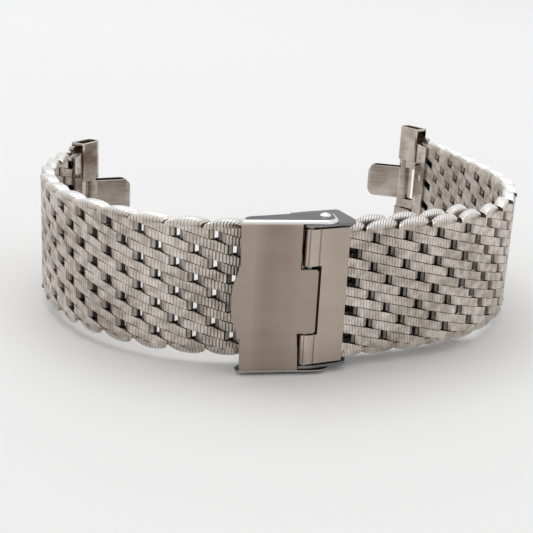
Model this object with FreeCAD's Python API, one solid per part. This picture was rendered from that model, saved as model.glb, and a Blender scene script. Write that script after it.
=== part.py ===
import FreeCAD, Part
import math
import os

V = FreeCAD.Vector
UP = V(0, 0, 1)

# Shark mesh bracelet, standing on the edge of its band. Millimetres, +Z up across the band.
# The outline is worked out from the clasp cover: X along its front face, Y towards the wrist,
# and the finished pieces are then moved so that the origin is the middle of the lowest plane.

# Mesh: flattened coils of ribbon, threaded into each other along the band
mesh_width = 17.5
mesh_thickness = 1.9
coil_spacing = 2.308
coils_spanned = 3
coil_pitch = 3.71
coil_gap = 0.55
ribbon_width = 1.10
ribbon_thickness = 0.32
edge_margin = 0.93
lobe_length = 3.3
lobe_slant = 2.2
lobe_height = 0.74
lobe_chamfer = 0.30
lobe_root = 0.12
coil_phase = 1.60
coil_sagitta = 0.10

# Course of the band, seen from above
clasp_exit = 8.37
clasp_radius = 52.0
clasp_turn = 17.0
left_radius = 24.0
left_turn = 58.0
left_back_radius = 27.0
left_back_turn = 46.7
left_straight = 6.6
right_heading = 15.0
right_straight = 15.8
right_radius = 26.0
right_turn = 83.0
right_end_straight = 21.3
tail_turn = 21.0
layer_distance = 2.45
left_coils = 22
clasp_coils = 6
tail_coils = 8
right_coils = 30
coils_per_link = 5
clasp_coil_inset = 14.85
hook_coil_inset = 5.33

# Clasp cover
cover_left = 3.67
cover_right = 3.68
cover_wall = 0.40
cover_slant = 0.50
notch_slant = 0.35
cover_bend = 0.70
tab_reach = 5.90
tab_bottom = 5.64
tab_top = 13.79
notch_corner = 0.40
lip_reach = 0.78
lip_middle = 9.69
lip_half = 4.60
lip_flat = 1.20
arm_right = 8.40
arm_depth = 5.15
arm_front_corner = 2.0
arm_back_corner = 1.4
arm_left_depth = 2.5
arm_left_run = 0.9
arm_left_front = 1.5

# Rivets that the cover turns on
rivet_x = 6.80
rivet_y = 2.50
rivet_radius = 0.50
rivet_head_radius = 0.72
rivet_head_height = 0.35
running_gap = 0.03
seat_gap = 0.01

# Slider frame
frame_wall = 0.35
side_gap = 0.12
back_wall = 0.35
back_gap = 0.10
frame_left = 3.0
frame_left_front = 1.2
frame_left_back = 5.4
frame_nose_left = 3.98
frame_nose_front = 0.15
frame_reach = 6.0
frame_end_corner = 1.3
back_start = 1.5

# Hook bar and hook plate
bar_x = 4.85
bar_y = 0.95
bar_radius = 0.45
plate_wall = 0.35
plate_length = 4.9
plate_gap = 0.06
plate_side_gap = 0.12
tab_gap = 0.35
fold_start = 1.30
fold_wall = 0.27
fold_length = 3.4
end_pin_place = 2.75
end_pin_radius = 0.25
lug_wall = 0.60
lug_reach = 0.35
lug_inset = 0.10

# Toothed grip bar under the cover
grip_left = 0.6
grip_teeth = 4
tooth_pitch = 0.5
tooth_height = 0.25
grip_gap = 0.06

# End fittings
end_gap = 0.10
leaf_length = 4.6
leaf_wall = 0.32
leaf_gap = 0.03
clamp_width = 3.3
fitting_inset = 1.2
dimple_count = 4
dimple_radius = 0.55
dimple_rise = 0.20
anchor_inset = 0.78
anchor_pin_radius = 0.25
anchor_lug_reach = 0.35
neck_turn = 24.0
barrel_reach = 3.95
barrel_bore = 0.75
barrel_wall = 0.28
neck_slot = 0.80
neck_wall = 0.35
sleeve_wall = 0.22
sleeve_gap = 0.03
sleeve_start = 0.85
left_sleeve_drop = 1.15
right_sleeve_drop = 0.20
sleeve_height = 5.7
sleeve_cap = 0.30
cap_slot_left = 1.3
cap_slot_right = 4.75
cap_slot_half = 0.80
tongue_height = 5.4
tongue_reach = 5.4
tongue_tip = 1.0
tongue_wall = 0.30
tongue_angle = 36.0
tongue_corner = 1.5

# Cutting shapes run this far past what they cut
beyond = 12.0

# Heights that follow from the pieces that lie inside each other
cover_bottom = rivet_head_height
frame_bottom = cover_bottom + cover_wall + side_gap
mesh_bottom = frame_bottom + frame_wall + side_gap
mesh_top = mesh_bottom + mesh_width
frame_top = mesh_top + side_gap + frame_wall
cover_top = frame_top + side_gap + cover_wall
total_height = cover_top + rivet_head_height
mesh_middle = (mesh_bottom + mesh_top) / 2
half_mesh = mesh_thickness / 2
coil_width = coils_spanned * coil_spacing
row_slope = coil_pitch / 2 / coil_width
fitting_bottom = mesh_bottom + fitting_inset
fitting_top = mesh_top - fitting_inset


def box(x0, x1, y0, y1, z0, z1):
    return Part.makeBox(x1 - x0, y1 - y0, z1 - z0, V(x0, y0, z0))


def rod(x, y, radius, z0, z1):
    return Part.makeCylinder(radius, z1 - z0, V(x, y, z0))


def prism(points, z0, z1):
    face = Part.Face(Part.makePolygon([V(x, y, z0) for x, y in points + points[:1]]))
    return face.extrude(V(0, 0, z1 - z0))


def turned(shape, angle, x=0.0, y=0.0):
    result = shape.copy()
    result.rotate(V(0, 0, 0), UP, angle)
    result.translate(V(x, y, 0))
    return result


def fuse_all(shapes):
    return shapes[0].multiFuse(shapes[1:]).removeSplitter()


def largest(shape):
    return max(shape.Solids, key=lambda solid: solid.Volume)


# A course is a chain of straight and round stretches: (length, radius or None), turning left.
class Course:
    def __init__(self, x, y, heading, stretches):
        self.start = (x, y, math.radians(heading))
        self.stretches = stretches
        self.length = sum(length for length, radius in stretches)

    def at(self, distance):
        x, y, heading = self.start
        for index, (length, radius) in enumerate(self.stretches):
            last = index == len(self.stretches) - 1
            step = distance if last else min(distance, length)
            if radius is None:
                x += step * math.cos(heading)
                y += step * math.sin(heading)
            else:
                turned_to = heading + step / radius
                x += radius * (math.sin(turned_to) - math.sin(heading))
                y += radius * (math.cos(heading) - math.cos(turned_to))
                heading = turned_to
            distance -= step
            if distance <= 0:
                break
        return x, y, math.degrees(heading)


def arc_length(radius, turn):
    return radius * math.radians(turn)


# Where a chain of stretches starts that ends at this place
def start_of(x, y, heading, stretches):
    for length, radius in reversed(stretches):
        if radius is None:
            x -= length * math.cos(heading)
            y -= length * math.sin(heading)
            continue
        before = heading - length / radius
        x -= radius * (math.sin(heading) - math.sin(before))
        y -= radius * (math.cos(before) - math.cos(heading))
        heading = before
    return x, y, math.degrees(heading)


# The long band lies flat behind the short one from this place on
def clasp_stretches():
    return [
        (left_straight, None),
        (arc_length(left_back_radius, left_back_turn), left_back_radius),
        (arc_length(left_radius, left_turn), left_radius),
        (arc_length(clasp_radius, clasp_turn), clasp_radius),
    ]


# The long band runs from the left end under the cover and ends as the tail
def long_course():
    heading = math.radians(right_heading)
    depth = short_offset() + layer_distance
    x = bar_x + clasp_exit * math.cos(heading) - depth * math.sin(heading)
    y = bar_y + clasp_exit * math.sin(heading) + depth * math.cos(heading)
    tail_radius = right_radius - layer_distance
    stretches = clasp_stretches()
    start = start_of(x, y, heading, stretches)
    stretches.append((right_straight - clasp_exit, None))
    stretches.append((arc_length(tail_radius, tail_turn), tail_radius))
    return Course(*start, stretches)


# Stations of the first coils: the long band is set out from the clasp
def long_first_station():
    before = sum(length for length, radius in clasp_stretches())
    return before - clasp_coil_inset - left_coils * coil_spacing


# The short band starts under the hook plate and ends at the right fitting
def short_course():
    turn = math.radians(right_heading)
    x = bar_x - short_offset() * math.sin(turn)
    y = bar_y + short_offset() * math.cos(turn)
    stretches = [
        (right_straight, None),
        (arc_length(right_radius, right_turn), right_radius),
        (right_end_straight, None),
    ]
    return Course(x, y, right_heading, stretches)


def knuckle_radius():
    return bar_radius + running_gap + plate_wall


# Ribbon coil: one closed tube of flat faces that winds up across the band
def coil_ring(station, side, height):
    outer = V(station, side * half_mesh, height)
    inward = ribbon_thickness if station < 0 else -ribbon_thickness
    rise = row_slope * ribbon_thickness * (1 if station * side < 0 else -1)
    inner = V(station + inward, side * (half_mesh - ribbon_thickness), height + rise)
    lift = V(0, 0, ribbon_width / 2)
    return [outer - lift, outer + lift, inner + lift, inner - lift]


def coil_rings(phase):
    end = coil_width / 2 - coil_gap / 2
    reach = row_slope * end
    rings = []
    height = phase - coil_pitch
    while height < mesh_width + coil_pitch:
        rings.append(coil_ring(end, -1, height - reach))
        rings.append(coil_ring(-end, -1, height + reach))
        rings.append(coil_ring(-end, 1, height + coil_pitch / 2 - reach))
        rings.append(coil_ring(end, 1, height + coil_pitch / 2 + reach))
        height += coil_pitch
    return rings


def flat_faces(corners):
    try:
        return [Part.Face(Part.makePolygon(corners + corners[:1]))]
    except Part.OCCError:
        a, b, c, d = corners
        return [Part.Face(Part.makePolygon([a, b, c, a])), Part.Face(Part.makePolygon([a, c, d, a]))]


def wound_ribbon(phase):
    rings = coil_rings(phase)
    faces = flat_faces(rings[0]) + flat_faces(rings[-1])
    for low, high in zip(rings, rings[1:]):
        for k in range(4):
            n = (k + 1) % 4
            faces += flat_faces([low[k], low[n], high[n], high[k]])
    solid = Part.makeSolid(Part.makeShell(faces))
    if solid.Volume < 0:
        solid.reverse()
    return solid


def slot_shape(reach, radius, z0, z1):
    bar = box(0, reach, -radius, radius, z0, z1)
    return bar.multiFuse([rod(0, 0, radius, z0, z1), rod(reach, 0, radius, z0, z1)])


# Closed outline of straight edges, each corner rounded with its own radius
def rounded(corners):
    edges = []
    starts = []
    ends = []
    for index, (x, y, radius) in enumerate(corners):
        before = corners[index - 1]
        after = corners[(index + 1) % len(corners)]
        here = V(x, y, 0)
        back = (V(before[0], before[1], 0) - here).normalize()
        forth = (V(after[0], after[1], 0) - here).normalize()
        half = back.getAngle(forth) / 2
        cut = radius / math.tan(half)
        starts.append(here + back * cut)
        ends.append(here + forth * cut)
        if radius > 0:
            middle = (back + forth).normalize() * (radius / math.sin(half) - radius)
            edges.append(Part.Arc(starts[-1], here + middle, ends[-1]).toShape())
    for index in range(len(corners)):
        edges.append(Part.makeLine(ends[index - 1], starts[index]))
    return Part.Face(Part.Wire(Part.__sortEdges__(edges)))


def plate(corners, z0, z1):
    face = rounded(corners)
    face.translate(V(0, 0, z0))
    return face.extrude(V(0, 0, z1 - z0))


def edges_along(shape, axis, x=None, y=None, z=None):
    found = []
    for edge in shape.Edges:
        if len(edge.Vertexes) < 2:
            continue
        a, b = edge.Vertexes[0].Point, edge.Vertexes[-1].Point
        if abs((b - a).normalize().dot(axis)) < 0.999:
            continue
        middle = (a + b) * 0.5
        pairs = zip((x, y, z), (middle.x, middle.y, middle.z))
        if all(want is None or abs(want - have) < 0.01 for want, have in pairs):
            found.append(edge)
    return found


# Edge lobes: the bent ends of the ribbon, one at each edge of every other coil
def lobe_outline():
    half = lobe_length / 2
    lean = lobe_slant / 2
    return [
        (-half + lean, -half_mesh),
        (half + lean, -half_mesh),
        (half - lean, half_mesh),
        (-half - lean, half_mesh),
    ]


def lobe(upper):
    z0 = mesh_width - lobe_height if upper else 0.0
    block = prism(lobe_outline(), z0, z0 + lobe_height)
    outside = mesh_width if upper else 0.0
    rim = [edge for edge in block.Edges if all(abs(v.Z - outside) < 0.001 for v in edge.Vertexes)]
    return block.makeChamfer(lobe_chamfer, rim)


def weave_slab():
    top = mesh_width - edge_margin
    return box(-coil_width, coil_width, -mesh_thickness, mesh_thickness, edge_margin, top)


def plain_coil(phase):
    return largest(wound_ribbon(phase).common(weave_slab()))


def edged_coil(phase):
    foot = prism(lobe_outline(), lobe_height - lobe_root, mesh_width - lobe_height + lobe_root)
    body = largest(wound_ribbon(phase).common(weave_slab().fuse(foot)))
    return fuse_all([body, lobe(True), lobe(False)])


# Coils stand upright on the course; every other one carries the edge lobes
class Weave:
    def __init__(self):
        self.edged = edged_coil(coil_phase)
        self.plain = plain_coil(coil_phase + coil_pitch / 2)

    def coils(self, course, first_station, numbers, edged_first):
        placed = []
        for number in numbers:
            edged = number % 2 == (0 if edged_first else 1)
            x, y, heading = course.at(first_station + number * coil_spacing)
            coil = turned(self.edged if edged else self.plain, heading, x, y)
            coil.translate(V(0, 0, mesh_bottom))
            placed.append(coil)
        return Part.makeCompound(placed)


def link_numbers(first, count):
    links = []
    while count > 0:
        size = min(coils_per_link, count)
        links.append(list(range(first, first + size)))
        first += size
        count -= size
    return links


def left_links():
    return link_numbers(0, left_coils)


def tail_links():
    return link_numbers(left_coils + clasp_coils, tail_coils)


def right_links():
    return link_numbers(0, right_coils)


# Where the link that starts with this coil turns against the one before it
def link_pivot(course, first_station, number):
    x, y, heading = course.at(first_station + (number - 0.5) * coil_spacing)
    return x, y


def thumb_lip():
    points = [V(-cover_left, 0, lip_middle - lip_half)]
    steps = 8
    rise = lip_half - lip_flat
    for k in range(1, steps):
        share = k / steps
        out = lip_reach * (1 - math.cos(math.pi * share)) / 2
        points.append(V(-cover_left - out, 0, lip_middle - lip_half + rise * share))
    upper = [V(p.x, 0, 2 * lip_middle - p.z) for p in reversed(points)]
    top = V(-cover_left - lip_reach, 0, lip_middle)
    curve = Part.BSplineCurve()
    curve.interpolate(points + [top] + upper)
    root = V(cover_left, 0, 0)
    back = Part.makePolygon([upper[-1], upper[-1] + root, points[0] + root, points[0]])
    face = Part.Face(Part.Wire([curve.toShape()] + back.Edges))
    return face.extrude(V(0, cover_wall, 0))


# Block over an outline in the cover's front face, through the front wall
def upright(points):
    face = Part.Face(Part.makePolygon([V(x, -beyond, z) for x, z in points + points[:1]]))
    return face.extrude(V(0, beyond + cover_wall, 0))


def clasp_cover():
    outline = [
        (-cover_left, 0, 0),
        (arm_right, 0, arm_front_corner),
        (arm_right, arm_depth, arm_back_corner),
        (-cover_left + arm_left_run, arm_left_depth, 0.5),
        (-cover_left, arm_left_front, 0.3),
    ]
    body = plate(outline, cover_bottom, cover_top)
    rims = []
    for z in (cover_bottom, cover_top):
        rims += [edge for edge in edges_along(body, V(1, 0, 0), y=0, z=z)]
    body = body.makeFillet(cover_bend, rims)
    z0 = cover_bottom + cover_wall
    z1 = cover_top - cover_wall
    hollow = box(-beyond, beyond, cover_wall, beyond, z0, z1)
    above = box(cover_right, beyond, -beyond, cover_wall, tab_top, z1)
    below = upright([(cover_right + notch_slant, z0), (beyond, z0), (beyond, tab_bottom), (cover_right, tab_bottom)])
    side = box(tab_reach, beyond, -beyond, cover_wall, (z0 + tab_bottom) / 2, (z1 + tab_top) / 2)
    left = upright([(-beyond, 0), (-cover_left + cover_slant, 0), (-cover_left, total_height), (-beyond, total_height)])
    body = body.cut(hollow).cut(above).cut(below).cut(side).cut(left)
    body = body.fuse(thumb_lip()).removeSplitter()
    tab_ends = edges_along(body, V(0, 1, 0), x=tab_reach)
    body = body.makeFillet(notch_corner, tab_ends)
    hole = rod(rivet_x, rivet_y, rivet_radius + running_gap, 0, total_height)
    return body.cut(hole)


def grip_bar():
    length = grip_teeth * tooth_pitch
    face_depth = long_face_depth(grip_left)
    points = [(grip_left, cover_wall), (grip_left + length, cover_wall)]
    tip = face_depth - grip_gap
    for tooth in range(grip_teeth, 0, -1):
        x = grip_left + tooth * tooth_pitch
        points.append((x, tip - tooth_height))
        points.append((x - tooth_pitch / 2, tip))
    points.append((grip_left, tip - tooth_height))
    return prism(points, mesh_bottom + plate_side_gap, mesh_top - plate_side_gap)


# Depth of the long band's outer face behind the cover front, at its nearest over the grip
def long_face_depth(x):
    station = long_station(x)
    return long_course().at(station)[1] - half_mesh - coil_sagitta


def long_station(x):
    course = long_course()
    low, high = 0.0, course.length
    for _ in range(40):
        middle = (low + high) / 2
        if course.at(middle)[0] < x:
            low = middle
        else:
            high = middle
    return low


# Back face of the slider frame, behind the long band where the band is deepest
def frame_depth():
    share = (clasp_exit - back_start) / clasp_radius
    mesh_back = short_offset() + layer_distance + clasp_radius * (1 - math.cos(share)) + half_mesh
    return mesh_back + coil_sagitta + back_gap + back_wall


def plate_frame(shape):
    return turned(shape, right_heading, bar_x, bar_y)


def slider_frame():
    turn = math.radians(right_heading)
    cosine, sine = math.cos(turn), math.sin(turn)

    def at(u, v):
        return bar_x + u * cosine - v * sine, bar_y + u * sine + v * cosine

    front = -knuckle_radius() - running_gap
    depth = frame_depth()
    corners = [
        (frame_left, frame_left_front, 0.2),
        (frame_nose_left, frame_left_front, 0),
        (frame_nose_left, frame_nose_front, 0.4),
        (*at(1.0, front), 0),
        (*at(frame_reach, front), frame_end_corner),
        (*at(frame_reach, depth), 0.5),
        (*at(back_start, depth), 0.2),
        (frame_left, frame_left_back, 0.3),
    ]
    body = plate(corners, frame_bottom, frame_top)
    inner = depth - back_wall
    channel = box(-beyond, beyond, -beyond, inner, frame_bottom + frame_wall, frame_top - frame_wall)
    body = body.cut(plate_frame(channel))
    window = box(-beyond, back_start, -beyond, beyond, frame_bottom + frame_wall, frame_top - frame_wall)
    body = body.cut(plate_frame(window))
    for x, y, radius in ((rivet_x, rivet_y, rivet_radius), (bar_x, bar_y, bar_radius)):
        body = body.cut(rod(x, y, radius + seat_gap, 0, total_height))
    return body


def cover_rivet(upper):
    shank_end = frame_bottom + frame_wall
    sphere_radius = (rivet_head_radius ** 2 + rivet_head_height ** 2) / (2 * rivet_head_height)
    dome = Part.makeSphere(sphere_radius, V(rivet_x, rivet_y, sphere_radius))
    dome = dome.common(rod(rivet_x, rivet_y, rivet_head_radius, 0, rivet_head_height))
    shape = dome.fuse(rod(rivet_x, rivet_y, rivet_radius, rivet_head_height / 2, shank_end))
    if upper:
        shape = shape.mirror(V(0, 0, total_height / 2), UP)
    return shape.removeSplitter()


def catch_bar():
    return rod(bar_x, bar_y, bar_radius, frame_bottom, frame_top)


# Hook plate in its own frame: along the band from the bar, front towards minus Y
def hook_plate():
    outer = knuckle_radius()
    z0 = mesh_bottom + plate_side_gap
    z1 = mesh_top - plate_side_gap
    sheet = box(0, plate_length, -outer, -outer + plate_wall, z0, z1)
    back = short_offset() + half_mesh + plate_gap
    end_wall = box(fold_start, fold_start + fold_wall, -outer, back + fold_wall, z0, z1)
    fold = box(fold_start, fold_start + fold_length, back, back + fold_wall, z0, z1)
    body = fuse_all([sheet, end_wall, fold, rod(0, 0, outer, z0, z1)])
    body = body.cut(rod(0, 0, bar_radius + running_gap, 0, total_height))
    low, high = tab_bottom - tab_gap, tab_top + tab_gap
    reach = tab_reach - bar_x + tab_gap
    body = body.cut(box(-outer - 1, min(reach, fold_start), -outer - 1, outer + 1, low, high))
    for z in (mesh_bottom + plate_side_gap, mesh_top - plate_side_gap - lug_wall):
        lug = plate_lug(z)
        body = body.fuse(lug)
    place = end_pin_place
    body = body.cut(rod(place, short_offset(), end_pin_radius + seat_gap, 0, total_height))
    return plate_frame(body.removeSplitter())


# Ear inside the last coil that carries the end of the wire pin
def plate_lug(z):
    middle = short_offset()
    return box(fold_start, end_pin_place + lug_reach, middle - lug_reach, middle + lug_reach, z, z + lug_wall)


def short_offset():
    return half_mesh + plate_gap + plate_wall - knuckle_radius()


def hook_end_pin():
    z0 = mesh_bottom + plate_side_gap
    z1 = mesh_top - plate_side_gap
    return plate_frame(rod(end_pin_place, short_offset(), end_pin_radius, z0, z1))


# End fitting: origin where the weave ends, X on past the end, Y towards the wrist
def barrel_radius():
    return barrel_bore + barrel_wall


def end_tube():
    face = half_mesh + leaf_gap
    leaf = box(-leaf_length, leaf_wall, -face - leaf_wall, -face, fitting_bottom, fitting_top)
    wall = box(0, leaf_wall, -face - leaf_wall, face, fitting_bottom, fitting_top)
    body = fuse_all([leaf, wall, neck_and_barrel()])
    reach = anchor_lug_reach
    low, high = mesh_bottom + lug_inset, mesh_top - lug_inset
    body = body.fuse(box(0, leaf_wall, -reach, reach, low, high))
    for z in (low, high - lug_wall):
        body = body.fuse(box(-anchor_inset - reach, leaf_wall, -reach, reach, z, z + lug_wall))
    body = body.cut(rod(-anchor_inset, 0, anchor_pin_radius + seat_gap, 0, total_height))
    return largest(body.removeSplitter())


# Tube for the spring bar on its neck, cut back where the tongue turns
def neck_and_barrel():
    outer = neck_slot / 2 + neck_wall
    body = box(0, barrel_reach, -outer, outer, fitting_bottom, fitting_top)
    body = body.cut(box(leaf_wall, barrel_reach, -neck_slot / 2, neck_slot / 2, 0, total_height))
    low, high = tongue_limits(plate_side_gap)
    body = body.cut(box(leaf_wall, barrel_reach, -outer, outer, low, high))
    body = body.fuse(rod(barrel_reach, 0, barrel_radius(), fitting_bottom, fitting_top))
    body = body.cut(rod(barrel_reach, 0, barrel_bore, 0, total_height))
    return turned(body, neck_turn).cut(box(-beyond, 0, -beyond, beyond, 0, total_height))


def anchor_pin():
    return rod(-anchor_inset, 0, anchor_pin_radius, mesh_bottom + lug_inset, mesh_top - lug_inset)


def tongue_limits(gap):
    return mesh_middle - tongue_height / 2 - gap, mesh_middle + tongue_height / 2 + gap


def tongue():
    z0, z1 = tongue_limits(0)
    inner = barrel_radius() + seat_gap
    ring = rod(0, 0, inner + tongue_wall, z0, z1)
    loop = slot_shape(tongue_reach, tongue_tip, z0, z1)
    inside = slot_shape(tongue_reach, tongue_tip - tongue_wall, z0, z1)
    body = ring.fuse(loop).cut(inside).cut(rod(0, 0, inner, z0, z1))
    body = body.common(tongue_elevation(z0, z1))
    body = largest(body.removeSplitter())
    return turned(turned(body, tongue_angle, barrel_reach, 0), neck_turn)


# Side view of the tongue: its free end has rounded corners
def tongue_elevation(z0, z1):
    end = tongue_reach + tongue_tip
    corners = [(-end, z0, 0), (end, z0, tongue_corner), (end, z1, tongue_corner), (-end, z1, 0)]
    block = plate(corners, -end, end)
    block.rotate(V(0, 0, 0), V(1, 0, 0), 90)
    return block


def sleeve(upper, drop=0.0):
    half = barrel_radius() + sleeve_gap + sleeve_wall
    bore = half - sleeve_wall
    z1 = total_height - drop
    z0 = z1 - sleeve_height
    outline = [
        (sleeve_start, -half, 0.4),
        (barrel_reach, -half, 0),
        (barrel_reach, half, 0),
        (sleeve_start, half, 0.4),
    ]
    body = plate(outline, z0, z1).fuse(rod(barrel_reach, 0, half, z0, z1)).removeSplitter()
    start = sleeve_start + sleeve_wall
    hollow = box(start, barrel_reach, -bore, bore, z0, z1 - sleeve_cap)
    hollow = hollow.fuse(rod(barrel_reach, 0, bore, z0, z1 - sleeve_cap))
    body = body.cut(hollow)
    slot = box(cap_slot_left, cap_slot_right, -cap_slot_half, cap_slot_half, z0, total_height)
    body = body.cut(slot)
    body = body.cut(box(0, barrel_reach - barrel_radius(), -bore, bore, z0, z1 - sleeve_cap))
    if not upper:
        body = body.mirror(V(0, 0, total_height / 2), UP)
    return turned(body.removeSplitter(), neck_turn)


def clamp_plate():
    face = half_mesh + leaf_gap
    body = box(-clamp_width, leaf_wall, face, face + leaf_wall, fitting_bottom, fitting_top)
    step = (fitting_top - fitting_bottom) / dimple_count
    radius = (dimple_radius ** 2 + dimple_rise ** 2) / (2 * dimple_rise)
    for k in range(dimple_count):
        z = fitting_bottom + (k + 0.5) * step
        centre = V(-clamp_width / 2, face + leaf_wall + dimple_rise - radius, z)
        ball = Part.makeSphere(radius, centre)
        cap = ball.common(Part.makeCylinder(dimple_radius, dimple_rise + leaf_wall / 2,
                                            V(-clamp_width / 2, face + leaf_wall / 2, z), V(0, 1, 0)))
        body = body.fuse(cap)
    return body.removeSplitter()


def fitting_pieces(drop):
    return {
        "end_tube": end_tube(),
        "anchor_pin": anchor_pin(),
        "clamp_plate": clamp_plate(),
        "tongue": tongue(),
        "sleeve_upper": sleeve(True, drop),
        "sleeve_lower": sleeve(False),
    }


def coil_end():
    return coil_width / 2 - coil_gap / 2 + end_gap


def left_end():
    return long_course().at(long_first_station() - coil_end())


def right_end():
    last = hook_coil_inset + (right_coils - 1) * coil_spacing
    return short_course().at(last + coil_end())


def at_left_end(shape):
    x, y, heading = left_end()
    return turned(shape.mirror(V(0, 0, 0), V(0, 1, 0)), heading + 180, x, y)


def at_right_end(shape):
    x, y, heading = right_end()
    return turned(shape, heading, x, y)


def all_pieces():
    weave = Weave()
    long_way, short_way = long_course(), short_course()
    first = long_first_station()
    pieces = {
        "clasp_cover": clasp_cover(),
        "grip_bar": grip_bar(),
        "slider_frame": slider_frame(),
        "cover_rivet_upper": cover_rivet(True),
        "cover_rivet_lower": cover_rivet(False),
        "catch_bar": catch_bar(),
        "hook_plate": hook_plate(),
        "hook_end_pin": hook_end_pin(),
    }
    for index, numbers in enumerate(left_links(), 1):
        pieces["mesh_left_%d" % index] = weave.coils(long_way, first, numbers, False)
    numbers = range(left_coils, left_coils + clasp_coils)
    pieces["mesh_clasp"] = weave.coils(long_way, first, numbers, False)
    for index, numbers in enumerate(tail_links(), 1):
        pieces["mesh_tail_%d" % index] = weave.coils(long_way, first, numbers, False)
    for index, numbers in enumerate(right_links(), 1):
        pieces["mesh_right_%d" % index] = weave.coils(short_way, hook_coil_inset, numbers, True)
    for name, shape in fitting_pieces(left_sleeve_drop).items():
        pieces["left_" + name] = at_left_end(shape)
    for name, shape in fitting_pieces(right_sleeve_drop).items():
        pieces["right_" + name] = at_right_end(shape)
    return pieces


def centre_shift(pieces):
    bounds = Part.makeCompound(list(pieces.values())).optimalBoundingBox(False)
    return V(-bounds.Center.x, -bounds.Center.y, -bounds.ZMin)


def write_pieces():
    pieces = all_pieces()
    shift = centre_shift(pieces)
    os.makedirs("parts", exist_ok=True)
    for name, shape in pieces.items():
        shape.translate(shift)
        shape.exportStep("parts/" + name + ".step")
    return pieces, shift


if __name__ == "__main__":
    write_pieces()
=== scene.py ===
import math
import time

import bpy
from mathutils import Matrix, Vector


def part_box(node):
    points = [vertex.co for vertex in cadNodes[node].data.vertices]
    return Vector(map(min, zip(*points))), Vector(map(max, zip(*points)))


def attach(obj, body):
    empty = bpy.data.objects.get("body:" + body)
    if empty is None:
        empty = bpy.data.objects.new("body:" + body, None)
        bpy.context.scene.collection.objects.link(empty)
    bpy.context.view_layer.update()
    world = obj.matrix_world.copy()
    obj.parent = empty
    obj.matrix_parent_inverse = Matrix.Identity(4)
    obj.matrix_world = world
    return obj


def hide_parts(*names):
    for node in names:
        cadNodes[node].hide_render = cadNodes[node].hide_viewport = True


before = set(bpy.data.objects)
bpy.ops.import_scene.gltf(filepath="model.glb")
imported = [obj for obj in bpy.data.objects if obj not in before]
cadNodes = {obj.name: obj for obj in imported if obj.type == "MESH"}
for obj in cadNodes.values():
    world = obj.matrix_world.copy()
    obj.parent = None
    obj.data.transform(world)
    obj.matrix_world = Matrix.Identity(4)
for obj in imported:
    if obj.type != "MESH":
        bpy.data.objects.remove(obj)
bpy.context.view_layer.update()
mm = 0.001
startTime = time.time()


def say(text):
    print("%6.1f s  %s" % (time.time() - startTime, text))


# The upper rivet's place in the clasp's own plan gives back where that plan lies in the frame
rivet = {"place": (6.80, 2.50)}
lowCorner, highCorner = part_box("cover_rivet_upper")
originX = (lowCorner.x + highCorner.x) / 2 / mm - rivet["place"][0]
originY = (lowCorner.y + highCorner.y) / 2 / mm - rivet["place"][1]
say("frame loaded")


def useObject(obj):
    if bpy.context.object and bpy.context.object.mode != "OBJECT":
        bpy.ops.object.mode_set(mode="OBJECT")
    bpy.ops.object.select_all(action="DESELECT")
    obj.select_set(True)
    bpy.context.view_layer.objects.active = obj


def edit(obj, kind="FACE", picked="DESELECT"):
    useObject(obj)
    bpy.ops.object.mode_set(mode="EDIT")
    bpy.ops.mesh.select_mode(type=kind)
    bpy.ops.mesh.select_all(action=picked)


def leaveEdit():
    bpy.ops.object.mode_set(mode="OBJECT")


def editCorners(obj, isPicked):
    edit(obj, "VERT")
    leaveEdit()
    for vertex in obj.data.vertices:
        vertex.select = isPicked(vertex.co)
    bpy.ops.object.mode_set(mode="EDIT")


def joinObjects(parts, name):
    useObject(parts[0])
    for part in parts:
        part.select_set(True)
    bpy.ops.object.join()
    joined = bpy.context.object
    joined.name = name
    return joined


def finishMesh(obj, angle):
    edit(obj, picked="SELECT")
    bpy.ops.mesh.normals_make_consistent(inside=False)
    leaveEdit()
    bpy.ops.object.shade_smooth_by_angle(angle=math.radians(angle))


# Follows a straight (radius None) or a bend of the given radius, backwards with a negative length
def follow(x, y, heading, length, radius):
    if radius is None:
        return x + length * math.cos(heading), y + length * math.sin(heading), heading
    after = heading + length / radius
    x += radius * (math.sin(after) - math.sin(heading))
    y += radius * (math.cos(heading) - math.cos(after))
    return x, y, after


# One coil of ribbed ribbon, wound up across the band (mm, degrees)
weave = {
    "width": 17.5,
    "bottom": 1.34,
    "thickness": 1.9,
    "spacing": 2.308,
    "coilsSpanned": 3,
    "pitch": 3.71,
    "endGap": 0.44,
    "ribbonHeight": 1.185,
    "ribbonThickness": 0.40,
    "ribbonBevel": 0.14,  # share of the ribbon's thickness
    "endCorner": 0.36,
    "dipAngle": 28.0,
    "dipRadius": 0.60,
    "dipLength": 0.26,
    "dipCorner": 0.24,
    "legRibs": 12,
    "dipRibs": 1,
    "sideRibs": 2,
    "grooveThickness": 0.66,  # shares of the ribbon that a groove leaves
    "grooveHeight": 0.95,
    "edgeMargin": 0.93,
    "phase": 1.60,
    "turns": 7,
    "mergeWithin": 0.01,
    "smoothAngle": 24,
}
coilWidth = weave["coilsSpanned"] * weave["spacing"]
coilSlope = weave["pitch"] / 2 / coilWidth
ribSteps = ((0.0, 1.0), (0.20, 0.18), (0.48, 0.0), (0.80, 0.22))  # along the rib, how far pinched
bendSteps = ((0.0, 1.0), (0.33, 0.0), (0.67, 0.0))
leastTurn = 1e-6


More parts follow.
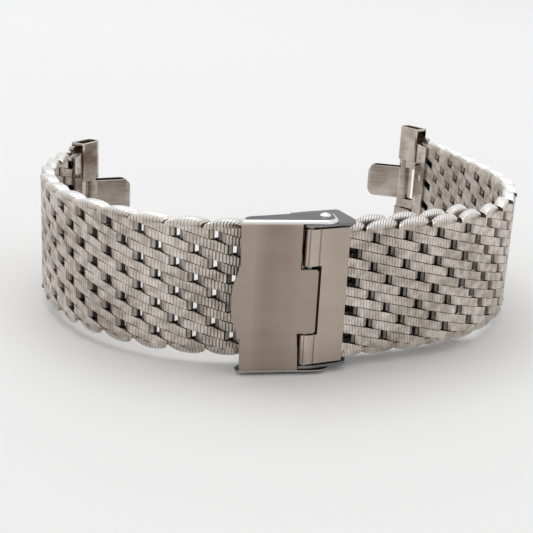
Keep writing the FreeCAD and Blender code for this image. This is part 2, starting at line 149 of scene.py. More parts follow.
# Half a turn seen from above: a straight leg, a dipping end, the side and a rounded corner,
# each as its length, its radius and its number of ribs
def halfTurn():
    w = weave
    halfX = coilWidth / 2 - w["endGap"] / 2 - w["ribbonThickness"] / 2
    halfY = w["thickness"] / 2 - w["ribbonThickness"] / 2
    dip = math.radians(w["dipAngle"])
    run = 2 * (halfX - w["endCorner"])
    straight = run + w["endCorner"] - w["dipRadius"] * math.sin(dip)
    straight -= w["dipLength"] * math.cos(dip) + w["dipCorner"] * (1 - math.sin(dip))
    side = 2 * halfY - w["dipRadius"] * (1 - math.cos(dip)) - w["dipLength"] * math.sin(dip)
    side -= w["dipCorner"] * math.cos(dip) + w["endCorner"]
    stretches = [
        (straight, None, w["legRibs"]),
        (w["dipRadius"] * dip, w["dipRadius"], 0),
        (w["dipLength"], None, w["dipRibs"]),
        (w["dipCorner"] * (math.pi / 2 - dip), w["dipCorner"], 0),
        (side, None, w["sideRibs"]),
        (w["endCorner"] * math.pi / 2, w["endCorner"], 0),
    ]
    return stretches, run, halfY


# Rings of one full turn: place, heading in degrees and how far the ribbon is pinched there
def turnRings():
    stretches, run, halfY = halfTurn()
    sideRise = weave["pitch"] / 2 - coilSlope * run
    rings = []
    for half, sign in ((0, 1), (1, -1)):
        forward, inward, heading = 0.0, 0.0, 0.0
        for length, radius, ribs in stretches:
            steps = bendSteps
            if ribs:
                steps = [((rib + share) / ribs, pinch)
                         for rib in range(ribs) for share, pinch in ribSteps]
            for share, pinch in steps:
                f, g, turn = follow(forward, inward, heading, share * length, radius)
                height = coilSlope * (f - run / 2) + sideRise * g / (2 * halfY)
                rings.append((
                    sign * (run / 2 - f), sign * (g - halfY), half * weave["pitch"] / 2 + height,
                    180 * half + math.degrees(turn), pinch))
            forward, inward, heading = follow(forward, inward, heading, length, radius)
    x, y, z, angle, pinch = rings[0]
    rings.append((x, y, z + weave["pitch"], angle + 360, pinch))
    return rings


# Draws the ribbon ring by ring: each face is extruded, turned about the upright and pinched
def extrudeRings(rings):
    have = (1.0, 1.0, 1.0)
    before = rings[0]
    for place in rings:
        x, y, z, angle, pinch = place
        if place is not before:
            step = Vector((x - before[0], y - before[1], z - before[2])) * mm
            bpy.ops.mesh.extrude_region_move(TRANSFORM_OT_translate={"value": step})
        centre = Vector((x, y, z)) * mm
        turn = math.radians(angle - before[3])
        if abs(turn) > leastTurn:
            bpy.ops.transform.rotate(
                value=-turn, orient_axis="Z", orient_type="GLOBAL", center_override=centre)
        across = abs(math.sin(math.radians(angle)))
        narrow = 1 - (1 - weave["grooveThickness"]) * pinch
        want = (
            narrow + (1 - narrow) * (1 - across),
            narrow + (1 - narrow) * across,
            1 - (1 - weave["grooveHeight"]) * pinch,
        )
        change = [w / h for w, h in zip(want, have)]
        bpy.ops.transform.resize(value=change, orient_type="GLOBAL", center_override=centre)
        have = want
        before = place


# An upright plane across X, at its size, standing about the origin
def addSection(name, height, width):
    bpy.ops.mesh.primitive_plane_add(size=1, location=(0, 0, 0), rotation=(0, math.pi / 2, 0))
    section = bpy.context.object
    section.name = name
    section.scale = (height * mm, width * mm, 1)
    bpy.ops.object.transform_apply(location=True, rotation=True, scale=True)
    return section


def drawTurn():
    rings = turnRings()
    thickness = weave["ribbonThickness"]
    ribbon = addSection("ribbonTurn", weave["ribbonHeight"], thickness)
    ribbon.location = Vector(rings[0][:3]) * mm
    bpy.ops.object.transform_apply(location=True, rotation=True, scale=True)
    edit(ribbon, "VERT", "SELECT")
    bpy.ops.mesh.bevel(
        offset=thickness * weave["ribbonBevel"] * mm, segments=1, affect="VERTICES")
    bpy.ops.mesh.select_mode(type="FACE")
    bpy.ops.mesh.select_all(action="SELECT")
    extrudeRings(rings)
    bpy.ops.mesh.delete(type="FACE")
    leaveEdit()
    return ribbon


def cutAt(obj, height, keepBelow):
    edit(obj, "VERT", "SELECT")
    bpy.ops.mesh.bisect(
        plane_co=(0, 0, height * mm), plane_no=(0, 0, 1 if keepBelow else -1),
        use_fill=True, clear_outer=True)
    leaveEdit()


def drawCoil(turn, name, phase):
    useObject(turn)
    bpy.ops.object.duplicate()
    coil = bpy.context.object
    coil.name = name
    coil.location = (0, 0, (phase - weave["pitch"]) * mm)
    bpy.ops.object.transform_apply(location=True, rotation=False, scale=False)
    array = coil.modifiers.new("turns", "ARRAY")
    array.count = weave["turns"]
    array.use_relative_offset = False
    array.use_constant_offset = True
    array.constant_offset_displace = (0, 0, weave["pitch"] * mm)
    array.use_merge_vertices = True
    array.merge_threshold = weave["mergeWithin"] * mm
    bpy.ops.object.modifier_apply(modifier="turns")
    cutAt(coil, weave["edgeMargin"], False)
    cutAt(coil, weave["width"] - weave["edgeMargin"], True)
    return coil


# Edge lobe: the ribbed ribbon climbs from the front face over the edge to the back face
lobe = {
    "length": 4.5,
    "height": 0.93,
    "overlap": 0.22,  # how far its root reaches into the coil
    "depth": 1.79,
    "slant": 34.0,
    "lean": 0.22,
    "ribs": 11,
    "arch": 0.50,  # share of the height lost at the ends
    "archPower": 2.4,
    "taper": 0.10,
    "taperPower": 3,
    "groove": 0.09,
    "grooveShade": 0.7,
    "rounding": 0.50,
    "roundingSteps": 3,
}
lobeSteps = ((0.0, 1.0), (0.15, 0.0), (0.85, 0.15))  # along the rib, how far pinched


def drawLobe(upper):
    halfLength = lobe["length"] / 2
    tall = lobe["height"] + lobe["overlap"]
    root = weave["width"] - tall
    piece = addSection("edgeLobe", tall, lobe["depth"] / math.cos(math.radians(lobe["slant"])))
    editCorners(piece, lambda corner: corner.z > 0)
    bpy.ops.mesh.bevel(
        offset=lobe["rounding"] * mm, segments=lobe["roundingSteps"], affect="VERTICES")
    bpy.ops.mesh.select_mode(type="FACE")
    bpy.ops.mesh.select_all(action="SELECT")
    x, y = halfLength, lobe["lean"]
    bpy.ops.transform.translate(value=Vector((x, y, root + tall / 2)) * mm)
    bpy.ops.transform.rotate(
        value=math.radians(lobe["slant"]), orient_axis="Z", orient_type="GLOBAL",
        center_override=Vector((x, y, 0)) * mm)
    have = (1.0, 1.0)
    for rib in range(lobe["ribs"]):
        for share, pinch in lobeSteps:
            along = (rib + share) / lobe["ribs"]
            s = 2 * along - 1
            nextX, nextY = -s * halfLength, -s * lobe["lean"]
            if along > 0:
                bpy.ops.mesh.extrude_region_move(
                    TRANSFORM_OT_translate={"value": Vector((nextX - x, nextY - y, 0)) * mm})
            x, y = nextX, nextY
            arch = 1 - lobe["arch"] * abs(s) ** lobe["archPower"]
            arch *= 1 - lobe["groove"] * pinch
            side = 1 - lobe["taper"] * abs(s) ** lobe["taperPower"]
            side *= 1 - lobe["groove"] / 2 * pinch
            bpy.ops.transform.resize(
                value=(side / have[0], side / have[0], arch / have[1]), orient_type="GLOBAL",
                center_override=Vector((x, y, root)) * mm)
            have = (side, arch)
    leaveEdit()
    if not upper:
        edit(piece, picked="SELECT")
        bpy.ops.transform.rotate(
            value=math.pi, orient_axis="Y", orient_type="GLOBAL",
            center_override=(0, 0, weave["width"] / 2 * mm))
        leaveEdit()
    edit(piece, "EDGE")
    bpy.ops.mesh.select_non_manifold()
    bpy.ops.mesh.edge_face_add()
    leaveEdit()
    # The corners lie ring after ring, so a corner's number gives its ring
    ringCorners = len(piece.data.vertices) // (lobe["ribs"] * len(lobeSteps))
    # Painted shade in the lobe's grooves, through the same recess mark as the coils
    mark = piece.data.attributes.new("recess", "FLOAT", "POINT")
    for vertex in piece.data.vertices:
        pinch = lobeSteps[vertex.index // ringCorners % len(lobeSteps)][1]
        mark.data[vertex.index].value = lobe["grooveShade"] * pinch
    return piece


# How far in each point of a coil lies, for the painted shade in the grooves and inside the weave
recess = {"grooveDepth": 0.07, "grooveShare": 0.36, "insideFrom": 0.28, "insideSpan": 0.40}


def clamp(value):
    return max(0.0, min(1.0, value))


def markDepth(coil):
    mark = coil.data.attributes.new("recess", "FLOAT", "POINT")
    for vertex in coil.data.vertices:
        fromFace = weave["thickness"] / 2 - abs(vertex.co.y) / mm
        groove = clamp(fromFace / recess["grooveDepth"])
        inside = clamp((fromFace - recess["insideFrom"]) / recess["insideSpan"])
        share = recess["grooveShare"]
        mark.data[vertex.index].value = share * groove + (1 - share) * inside


turnShape = drawTurn()
say("one turn drawn: %d faces" % len(turnShape.data.polygons))
plainCoil = drawCoil(turnShape, "plainCoil", weave["phase"] + weave["pitch"] / 2)
edgedCoil = drawCoil(turnShape, "edgedCoil", weave["phase"])
for coil in (plainCoil, edgedCoil):
    markDepth(coil)
edgedCoil = joinObjects([edgedCoil, drawLobe(True), drawLobe(False)], "edgedCoil")
for coil in (plainCoil, edgedCoil):
    finishMesh(coil, weave["smoothAngle"])
bpy.data.objects.remove(turnShape)
say("coils drawn: %d and %d faces" % (
    len(plainCoil.data.polygons), len(edgedCoil.data.polygons)))

# Course of the band seen from above, the same as in the solids (mm, degrees)
course = {
    "leftStraight": 6.6,
    "leftBackRadius": 27.0,
    "leftBackTurn": 46.7,
    "leftRadius": 24.0,
    "leftTurn": 58.0,
    "claspRadius": 52.0,
    "claspTurn": 17.0,
    "claspExit": 8.37,
    "rightHeading": 15.0,
    "rightStraight": 15.8,
    "rightRadius": 26.0,
    "rightTurn": 83.0,
    "rightEnd": 21.3,
    "tailTurn": 21.0,
    "layerDistance": 2.45,
    "barX": 4.85,
    "barY": 0.95,
    "barRadius": 0.45,
    "runningGap": 0.03,
    "plateWall": 0.35,
    "plateGap": 0.06,
    "claspInset": 14.85,
    "hookInset": 5.33,
    "leftCoils": 22,
    "claspCoils": 6,
    "tailCoils": 8,
    "rightCoils": 30,
    "coilsPerLink": 5,
}
# From the catch bar to the middle of the short band
shortOffset = (
    weave["thickness"] / 2 + course["plateGap"] - course["barRadius"] - course["runningGap"])


def bend(radius, turn):
    return (radius * math.radians(turn), radius)


def startOf(place, stretches):
    for length, radius in reversed(stretches):
        place = follow(*place, -length, radius)
    return place


def longCourse():
    c = course
    heading = math.radians(c["rightHeading"])
    depth = shortOffset + c["layerDistance"]
    x = c["barX"] + c["claspExit"] * math.cos(heading) - depth * math.sin(heading)
    y = c["barY"] + c["claspExit"] * math.sin(heading) + depth * math.cos(heading)
    before = [
        (c["leftStraight"], None),
        bend(c["leftBackRadius"], c["leftBackTurn"]),
        bend(c["leftRadius"], c["leftTurn"]),
        bend(c["claspRadius"], c["claspTurn"]),
    ]
    after = [
        (c["rightStraight"] - c["claspExit"], None),
        bend(c["rightRadius"] - c["layerDistance"], c["tailTurn"]),
    ]
    inset = sum(length for length, radius in before)
    inset = inset - c["claspInset"] - c["leftCoils"] * weave["spacing"]
    return (startOf((x, y, heading), before), before + after), inset


def shortCourse():
    c = course
    heading = math.radians(c["rightHeading"])
    x = c["barX"] - shortOffset * math.sin(heading)
    y = c["barY"] + shortOffset * math.cos(heading)
    stretches = [
        (c["rightStraight"], None), bend(c["rightRadius"], c["rightTurn"]), (c["rightEnd"], None)]
    return (x, y, heading), stretches


def pointOn(path, distance):
    place, stretches = path
    for length, radius in stretches[:-1]:
        step = min(distance, length)
        place = follow(*place, step, radius)
        distance -= step
    return follow(*place, distance, stretches[-1][1])


def placeLink(name, path, inset, numbers, edgedFirst, body):
    placed = []
    for number in numbers:
        isEdged = (number % 2 == 0) == edgedFirst
        useObject(edgedCoil if isEdged else plainCoil)
        bpy.ops.object.duplicate()
        coil = bpy.context.object
        x, y, heading = pointOn(path, inset + number * weave["spacing"])
        coil.location = Vector((x + originX, y + originY, weave["bottom"])) * mm
        coil.rotation_euler = (0, 0, heading)
        placed.append(coil)
    link = joinObjects(placed, name + "_weave")
    bpy.ops.object.transform_apply(location=True, rotation=True, scale=True)
    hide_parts(name)
    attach(link, body)
    return link


def linkNumbers(first, count):
    size = course["coilsPerLink"]
    end = first + count
    return [range(start, min(start + size, end)) for start in range(first, end, size)]


longPath, longInset = longCourse()
shortPath = shortCourse()
claspFirst = course["leftCoils"]
tailFirst = claspFirst + course["claspCoils"]
links = []
for index, numbers in enumerate(linkNumbers(0, claspFirst), 1):
    links.append(placeLink(
        "mesh_left_%d" % index, longPath, longInset, numbers, False, "left_link_%d" % index))
links.append(placeLink(
    "mesh_clasp", longPath, longInset, range(claspFirst, tailFirst), False, "frame"))
for index, numbers in enumerate(linkNumbers(tailFirst, course["tailCoils"]), 1):
    links.append(placeLink(
        "mesh_tail_%d" % index, longPath, longInset, numbers, False, "tail_link_%d" % index))
for index, numbers in enumerate(linkNumbers(0, course["rightCoils"]), 1):
    body = "hook" if index == 1 else "right_link_%d" % index
    links.append(placeLink(
        "mesh_right_%d" % index, shortPath, course["hookInset"], numbers, True, body))
lastRight = body
bpy.data.objects.remove(plainCoil)
bpy.data.objects.remove(edgedCoil)
say("band placed: %d links" % len(links))


# Sheet-metal and turned pieces: the solid's form with its edges broken as polishing leaves them
edgeBreak = {
    "width": {"cover": 0.11, "satin": 0.05, "rivet": 0.05, "polished": 0.055},
    "segments": 2,
    "sharpAngle": 32.0,
    "smoothAngle": 40.0,
    "mergeWithin": 0.002,
    "flatAngle": 1.0,
    "faceWeight": 100,
}


def dressNode(name, body, slot):
    mesh = cadNodes[name].data.copy()
    piece = bpy.data.objects.new(name + "_dressed", mesh)
    bpy.context.scene.collection.objects.link(piece)
    edit(piece, "VERT", "SELECT")
    bpy.ops.mesh.remove_doubles(threshold=edgeBreak["mergeWithin"] * mm)
    bpy.ops.mesh.dissolve_limited(angle_limit=math.radians(edgeBreak["flatAngle"]))
    leaveEdit()
    bevel = piece.modifiers.new("edgeBreak", "BEVEL")
    bevel.width = edgeBreak["width"][slot] * mm
    bevel.segments = edgeBreak["segments"]
    bevel.limit_method = "ANGLE"
    bevel.angle_limit = math.radians(edgeBreak["sharpAngle"])
    bevel.use_clamp_overlap = True
    bpy.ops.object.modifier_apply(modifier="edgeBreak")
    bpy.ops.object.shade_smooth_by_angle(angle=math.radians(edgeBreak["smoothAngle"]))
    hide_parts(name)
    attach(piece, body)
    return piece


# Broad faces keep their own flat shading, the broken edges round off between them
def settleNormals(piece):
    useObject(piece)
    weighted = piece.modifiers.new("faceWeights", "WEIGHTED_NORMAL")
    weighted.keep_sharp = True
    weighted.weight = edgeBreak["faceWeight"]
    bpy.ops.object.modifier_apply(modifier="faceWeights")


claspPieces = {
    "clasp_cover": ("cover", "cover"),
    "grip_bar": ("cover", "satin"),
    "slider_frame": ("frame", "satin"),
    "catch_bar": ("frame", "rivet"),
    "cover_rivet_upper": ("frame", "rivet"),
    "cover_rivet_lower": ("frame", "rivet"),
    "hook_plate": ("hook", "cover"),
    "hook_end_pin": ("hook", "rivet"),
}
endPieces = ("end_tube", "anchor_pin", "clamp_plate", "tongue")
dressed = {}
for name, (body, slot) in claspPieces.items():
    dressed[name] = dressNode(name, body, slot)
for side, body in (("left", "left_link_1"), ("right", lastRight)):
    for kind in endPieces:
        name = "%s_%s" % (side, kind)
        dressed[name] = dressNode(name, body, "polished")
    for level in ("upper", "lower"):
        name = "%s_sleeve_%s" % (side, level)
        dressed[name] = dressNode(name, name + "_body", "polished")
say("clasp and ends dressed: %d pieces" % len(dressed))

# Two fine upright grooves in the hook plate, at their reach from the catch bar
grooves = {
    "places": (-0.45, 0.93),
    "halfWidth": 0.10,
    "depth": 0.26,
    "cutWithin": 0.001,
    "onCut": 0.005,
    "onFront": 0.03,
}


# Three cuts across the piece, and the middle one's front corners pushed in
def scribe(piece, place, across, inward):
    for offset in (-grooves["halfWidth"], 0.0, grooves["halfWidth"]):
        edit(piece, "VERT", "SELECT")
        bpy.ops.mesh.bisect(
            plane_co=(place + across * offset) * mm, plane_no=across,
            threshold=grooves["cutWithin"] * mm)
        leaveEdit()

    def isOnCut(corner):
        return abs((corner / mm - place).dot(across)) < grooves["onCut"]

    def depthOf(corner):
        return (corner / mm).dot(inward)

    front = min(depthOf(vertex.co) for vertex in piece.data.vertices if isOnCut(vertex.co))
    editCorners(
        piece,
        lambda corner: isOnCut(corner) and depthOf(corner) < front + grooves["onFront"])
    bpy.ops.transform.translate(value=inward * grooves["depth"] * mm)
    leaveEdit()


plateTurn = math.radians(course["rightHeading"])
plateAcross = Vector((math.cos(plateTurn), math.sin(plateTurn), 0))
plateInward = Vector((-math.sin(plateTurn), math.cos(plateTurn), 0))
knuckle = course["barRadius"] + course["runningGap"] + course["plateWall"]
barPlace = Vector((originX + course["barX"], originY + course["barY"], 0))
for reach in grooves["places"]:
    place = barPlace + plateAcross * reach - plateInward * knuckle
    scribe(dressed["hook_plate"], place, plateAcross, plateInward)
for piece in dressed.values():
    settleNormals(piece)
say("hook plate grooved: %d grooves" % len(grooves["places"]))


# Shader maths: a wrapped socket adds its own Math nodes
class Value:
    def __init__(self, shade, socket):
        self.shade = shade
        self.socket = socket

    def combine(self, operation, first, second):
        made = self.shade.node("ShaderNodeMath", {"operation": operation}, {0: first, 1: second})
        return Value(self.shade, made.outputs[0])

    def __add__(self, other):
        return self.combine("ADD", self, other)

    def __radd__(self, other):
        return self.combine("ADD", other, self)

    def __sub__(self, other):
        return self.combine("SUBTRACT", self, other)

    def __rsub__(self, other):
        return self.combine("SUBTRACT", other, self)

    def __mul__(self, other):
        return self.combine("MULTIPLY", self, other)

    def __rmul__(self, other):
        return self.combine("MULTIPLY", other, self)

    def orLarger(self, other):
        return self.combine("MAXIMUM", self, other)


class NodeTree:
    def __init__(self, tree, shaderName):
        self.tree = tree
        self.shader = tree.nodes[shaderName]

    def node(self, kind, settings, sockets):
        made = self.tree.nodes.new(kind)
        for key, value in settings.items():
            setattr(made, key, value)
        for key, value in sockets.items():
            if isinstance(value, Value):
                self.tree.links.new(value.socket, made.inputs[key])
            else:
                made.inputs[key].default_value = value
        return made

    def feed(self, name, value):
        self.tree.links.new(value.socket, self.shader.inputs[name])


class Shade(NodeTree):
    def __init__(self, name):
        self.material = bpy.data.materials.new(name)
        self.material.use_nodes = True
        super().__init__(self.material.node_tree, "Principled BSDF")

    # The piece's own place, turned about the upright (degrees) and stretched
    def place(self, turn=0, stretch=(1, 1, 1)):
        coordinates = self.node("ShaderNodeTexCoord", {}, {})
        mapped = self.node("ShaderNodeMapping", {}, {
            "Vector": Value(self, coordinates.outputs["Object"]),
            "Rotation": (0, 0, math.radians(turn)),
            "Scale": stretch,
        })
        return Value(self, mapped.outputs["Vector"])

    def noise(self, place, look):
        made = self.node("ShaderNodeTexNoise", {}, {
            "Vector": place, "Scale": look["scale"], "Detail": look["detail"],
            "Roughness": look["rough"],
        })
        return Value(self, made.outputs["Fac"])

    # One layer of noise, spread so that its range runs from 0 to 1
    def layer(self, look, turn=0):
        place = self.place(turn, look.get("stretch", (1, 1, 1)))
        return self.spread(self.noise(place, look), *look["range"])

    def spread(self, value, low, high):
        made = self.node(
            "ShaderNodeMapRange", {}, {"Value": value, "From Min": low, "From Max": high})
        return Value(self, made.outputs["Result"])

    def mix(self, share, first, second):
        colours = {
            key: colour if isinstance(colour, Value) else (*colour, 1)
            for key, colour in ((6, first), (7, second))
        }
        made = self.node("ShaderNodeMix", {"data_type": "RGBA"}, {0: share, **colours})
        return Value(self, made.outputs[2])

    def axis(self, vector, name):
        made = self.node("ShaderNodeSeparateXYZ", {}, {"Vector": vector})
        return Value(self, made.outputs[name])

    def attribute(self, name):
        made = self.node("ShaderNodeAttribute", {"attribute_name": name}, {})
        return Value(self, made.outputs["Fac"])

    def upward(self):
        geometry = self.node("ShaderNodeNewGeometry", {}, {})
        return self.axis(Value(self, geometry.outputs["True Normal"]), "Z")

    def bump(self, height, strength, distance):
        made = self.node("ShaderNodeBump", {}, {
            "Height": height, "Strength": strength, "Distance": distance * mm})
        return Value(self, made.outputs["Normal"])


# Brushed sheet: streaks along the brushing, wide tone bands and faint smudges, with broad painted
# reflection bands, a painted highlight on the bends and a painted reflection tone on faces
# pointing straight up or down
brushing = {
    "streaks": {
        "stretch": (60, 3200, 3200), "scale": 2.0, "detail": 3.0, "rough": 0.6,
        "range": (0.32, 0.68),
    },
    "bands": {
        "stretch": (25, 420, 420), "scale": 1.0, "detail": 2.0, "rough": 0.5,
        "range": (0.35, 0.65),
    },
    "smudge": {"scale": 160.0, "detail": 3.0, "rough": 0.5, "range": (0.38, 0.66)},
    # Broad soft bands across the sheet: painted reflection
    "reflectionBands": {
        "stretch": (210, 210, 14), "scale": 1.0, "detail": 1.0, "rough": 0.5,
        "range": (0.38, 0.62),
    },
    "tint": {"streaks": 0.14, "bands": 0.10, "smudge": 0.16, "reflectionBands": 0.60},
    "flatRange": (0.90, 0.99),  # squared upward part of the normal
    "bendRange": (0.05, 0.40),
    "smudgeRoughness": 0.07,
    "streakRoughness": 0.05,
    "streakDepth": 0.012,
}


def brushedSteel(name, finish):
    shade = Shade(name)
    shade.shader.inputs["Metallic"].default_value = 1.0
    streaks = shade.layer(brushing["streaks"], -finish["turn"])
    bands = shade.layer(brushing["bands"], -finish["turn"])
    smudge = shade.layer(brushing["smudge"])
    reflectionBands = shade.layer(brushing["reflectionBands"])
    share = brushing["tint"]
    tint = streaks * share["streaks"] + bands * share["bands"]
    tint = tint + smudge * share["smudge"] + reflectionBands * share["reflectionBands"]
    front = shade.mix(tint, finish["dark"], finish["light"])
    level = shade.upward()
    # Painted light: the bends get the bend colour as a painted highlight, and faces pointing
    # straight up or down get flatFaceReflection, a painted reflection tone
    flat = shade.spread(level * level, *brushing["flatRange"])
    bendHighlight = shade.spread(level * level, *brushing["bendRange"]) - flat
    lit = shade.mix(bendHighlight, front, finish["bend"])
    shade.feed("Base Color", shade.mix(flat, lit, finish["flatFaceReflection"]))
    rough = finish["roughness"] + smudge * brushing["smudgeRoughness"]
    shade.feed("Roughness", rough + (1 - streaks) * brushing["streakRoughness"])
    shade.feed("Normal", shade.bump(streaks, finish["bump"], brushing["streakDepth"]))
    return shade.material


# Ribbon: satin, each rib slightly different, painted shade in the grooves, both edges lighter:
# part wear, part painted highlight
ribbonGrain = {
    "ribTone": {"scale": 900.0, "detail": 1.0, "rough": 0.5, "range": (0.36, 0.64)},
    "patch": {"scale": 130.0, "detail": 2.0, "rough": 0.5, "range": (0.40, 0.62)},
    "grain": {"scale": 5200.0, "detail": 2.0, "rough": 0.5},
    "tint": {"ribTone": 0.6, "patch": 0.4},
    "grainRoughness": 0.08,
    "recessRoughness": 0.12,
    "grainBump": 0.25,
    "grainDepth": 0.010,
    "edgeFade": 0.5,
}


def ribbonSteel(name, finish):
    shade = Shade(name)
    shade.shader.inputs["Metallic"].default_value = 1.0
    place = shade.place()
    share = ribbonGrain["tint"]
    tint = shade.layer(ribbonGrain["ribTone"]) * share["ribTone"]
    tint = tint + shade.layer(ribbonGrain["patch"]) * share["patch"]
    grain = shade.noise(place, ribbonGrain["grain"])
    deep = shade.attribute("recess")
    # Both band edges lighter: partly edge wear, partly a painted highlight for the lit edge lobes
    height = shade.axis(place, "Z")
    fade = ribbonGrain["edgeFade"]
    low = shade.spread(height, finish["lowEdge"] * mm, (finish["lowEdge"] - fade) * mm)
    high = shade.spread(height, finish["highEdge"] * mm, (finish["highEdge"] + fade) * mm)
    ribs = shade.mix(tint, finish["dark"], finish["light"])
    edgeWearAndSheen = shade.mix(low + high, ribs, finish["edgeWearAndSheen"])
    # Painted shade: the near-black paintedShade colour is mixed in by how deep each point lies
    shade.feed("Base Color", shade.mix(deep * finish["recess"], edgeWearAndSheen, finish["paintedShade"]))
    rough = finish["roughness"] + grain * ribbonGrain["grainRoughness"]
    shade.feed("Roughness", rough + deep * ribbonGrain["recessRoughness"])
    shade.feed("Normal", shade.bump(grain, ribbonGrain["grainBump"], ribbonGrain["grainDepth"]))
    return shade.material


# Polished fitting: clear reflections with fine hairlines and fingermarks
polish = {
    "hair": {
        "stretch": (300, 300, 6000), "scale": 1.0, "detail": 2.0, "rough": 0.5,
        "range": (0.40, 0.62),
    },
    "marks": {"scale": 260.0, "detail": 3.0, "rough": 0.5, "range": (0.42, 0.64)},
    "hairTurn": 20,
    "tint": {"marks": 0.7, "hair": 0.3},
    "marksRoughness": 0.10,
    "hairRoughness": 0.03,
    "hairBump": 0.08,
    "hairDepth": 0.006,
}


def polishedSteel(name, finish):
    shade = Shade(name)
    shade.shader.inputs["Metallic"].default_value = 1.0
    hair = shade.layer(polish["hair"], polish["hairTurn"])
    marks = shade.layer(polish["marks"])
    tint = marks * polish["tint"]["marks"] + hair * polish["tint"]["hair"]
    shade.feed("Base Color", shade.mix(tint, finish["dark"], finish["light"]))
    rough = finish["roughness"] + marks * polish["marksRoughness"]
    shade.feed("Roughness", rough + hair * polish["hairRoughness"])
    shade.feed("Normal", shade.bump(hair, polish["hairBump"], polish["hairDepth"]))
    return shade.material


# In the brushed finishes, bend is a painted highlight and flatFaceReflection a painted reflection
# tone (dark on the sheets, bright on the rivets)
finishes = {
    # Cover and plate are one steel: the cover is painted darker and the plate lighter, painted
    # shade and light for how each faces the light
    "cover": {
        # The cover's warm brown is painted reflection of brown surroundings
        "dark": (0.23, 0.168, 0.138), "light": (0.39, 0.325, 0.275), "bend": (0.72, 0.71, 0.69),
        "flatFaceReflection": (0.065, 0.066, 0.070), "roughness": 0.28, "bump": 0.20, "turn": 0,
    },
    "plate": {
        "dark": (0.36, 0.29, 0.24), "light": (0.52, 0.45, 0.38), "bend": (0.72, 0.71, 0.69),
        "flatFaceReflection": (0.075, 0.077, 0.082), "roughness": 0.28, "bump": 0.20, "turn": 15,
    },
    "satin": {
        "dark": (0.16, 0.155, 0.15), "light": (0.28, 0.27, 0.26), "bend": (0.55, 0.55, 0.54),
        "flatFaceReflection": (0.12, 0.12, 0.125), "roughness": 0.32, "bump": 0.15, "turn": 15,
    },
    "rivet": {
        # Rivet: bright bend and flatFaceReflection, painted highlights on the heads
        "dark": (0.38, 0.38, 0.38), "light": (0.60, 0.59, 0.58), "bend": (0.80, 0.80, 0.80),
        "flatFaceReflection": (0.85, 0.85, 0.85), "roughness": 0.22, "bump": 0.10, "turn": 0,
    },
    "weave": {
        # The weave's warm tint is painted reflection of brown surroundings
        "dark": (0.39, 0.34, 0.29), "light": (0.75, 0.69, 0.63), "paintedShade": (0.035, 0.028, 0.024),
        "edgeWearAndSheen": (0.80, 0.79, 0.78), "lowEdge": 1.9, "highEdge": 18.2, "recess": 0.85,
        "roughness": 0.28,
    },
    # The fittings' warm brown is painted reflection of brown surroundings
    "ends": {"dark": (0.36, 0.295, 0.245), "light": (0.64, 0.59, 0.54), "roughness": 0.10},
}
coverSteel = brushedSteel("coverSteel", finishes["cover"])
plateSteel = brushedSteel("plateSteel", finishes["plate"])
satinSteel = brushedSteel("satinSteel", finishes["satin"])
rivetSteel = brushedSteel("rivetSteel", finishes["rivet"])
weaveSteel = ribbonSteel("weaveSteel", finishes["weave"])
endSteel = polishedSteel("endSteel", finishes["ends"])
claspSteels = {
    "clasp_cover": coverSteel,
    "hook_plate": plateSteel,
    "slider_frame": satinSteel,
    "grip_bar": satinSteel,
}


def wear(piece, material):
    piece.data.materials.clear()
    piece.data.materials.append(material)


for link in links:
    wear(link, weaveSteel)
for name, piece in dressed.items():
    isFitting = name.startswith(("left_", "right_"))
    wear(piece, endSteel if isFitting else claspSteels.get(name, rivetSteel))
say("materials made")

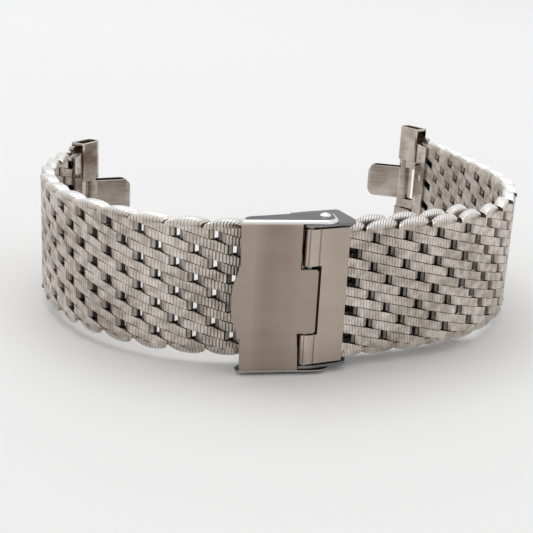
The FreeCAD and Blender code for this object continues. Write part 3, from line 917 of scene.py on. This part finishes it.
# Floor and studio light (metres, watts)
studio = {
    "floorSize": 3,
    "floorColour": (0.80, 0.80, 0.80),
    "floorRoughness": 0.7,
    "fill": 0.75,  # the world's light on matt surfaces
    "seen": 1.0,  # the world as seen or reflected
    "target": (0, 0, 0.01),
    "lamps": {
        "overheadLamp": {"place": (-0.15, 0.48, 1.26), "size": (1.20, 0.90), "power": 7.0},
        "sideLamp": {"place": (0.70, -0.60, 0.50), "size": (0.50, 0.50), "power": 0.8},
    },
}
bpy.ops.mesh.primitive_plane_add(size=studio["floorSize"], location=(0, 0, 0))
floor = bpy.context.object
floor.name = "floor"
floorPaint = Shade("floorPaint")
floorPaint.shader.inputs["Base Color"].default_value = (*studio["floorColour"], 1)
floorPaint.shader.inputs["Roughness"].default_value = studio["floorRoughness"]
floor.data.materials.append(floorPaint.material)

world = bpy.data.worlds.new("studio")
world.use_nodes = True
bpy.context.scene.world = world
sky = NodeTree(world.node_tree, "Background")
sky.shader.inputs["Color"].default_value = (1, 1, 1, 1)
rays = sky.node("ShaderNodeLightPath", {}, {})
seen, mirrored, passed = [
    Value(sky, rays.outputs["Is %s Ray" % kind]) for kind in ("Camera", "Glossy", "Transmission")]
plain = seen.orLarger(mirrored).orLarger(passed)
sky.feed("Strength", studio["fill"] + plain * (studio["seen"] - studio["fill"]))


def addLamp(name, place, size, power):
    bpy.ops.object.light_add(type="AREA", location=place)
    lamp = bpy.context.object
    lamp.name = name
    lamp.data.shape = "RECTANGLE"
    lamp.data.size, lamp.data.size_y = size
    lamp.data.energy = power
    lamp.rotation_mode = "QUATERNION"
    lamp.rotation_quaternion = (Vector(studio["target"]) - Vector(place)).to_track_quat("-Z", "Y")


for name, lamp in studio["lamps"].items():
    addLamp(name, **lamp)

# Camera at the photo's angle: focal length and frame in pixels, place in mm on the clasp's plan
camera = {
    "focal": 1060.0,
    "frame": 533.0,
    "sensor": 36,
    "tilt": 18.28,
    "azimuth": 10.0,
    "roll": 3.08,
    "place": (-21.10, -116.99, 53.48),
    "clipStart": 0.01,
}
bpy.ops.object.camera_add()
eye = bpy.context.object
eye.name = "photoCamera"
eye.data.sensor_width = camera["sensor"]
eye.data.lens = camera["focal"] / camera["frame"] * camera["sensor"]
eye.data.clip_start = camera["clipStart"]
pan = Matrix.Rotation(math.radians(-camera["azimuth"]), 4, "Z")
tip = Matrix.Rotation(math.radians(90 - camera["tilt"]), 4, "X")
roll = Matrix.Rotation(math.radians(camera["roll"]), 4, "Z")
x, y, z = camera["place"]
stand = Matrix.Translation(Vector((x + originX, y + originY, z)) * mm)
eye.matrix_world = stand @ pan @ tip @ roll
bpy.context.scene.camera = eye

bpy.context.scene.view_settings.view_transform = "Standard"
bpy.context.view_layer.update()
say("scene ready")
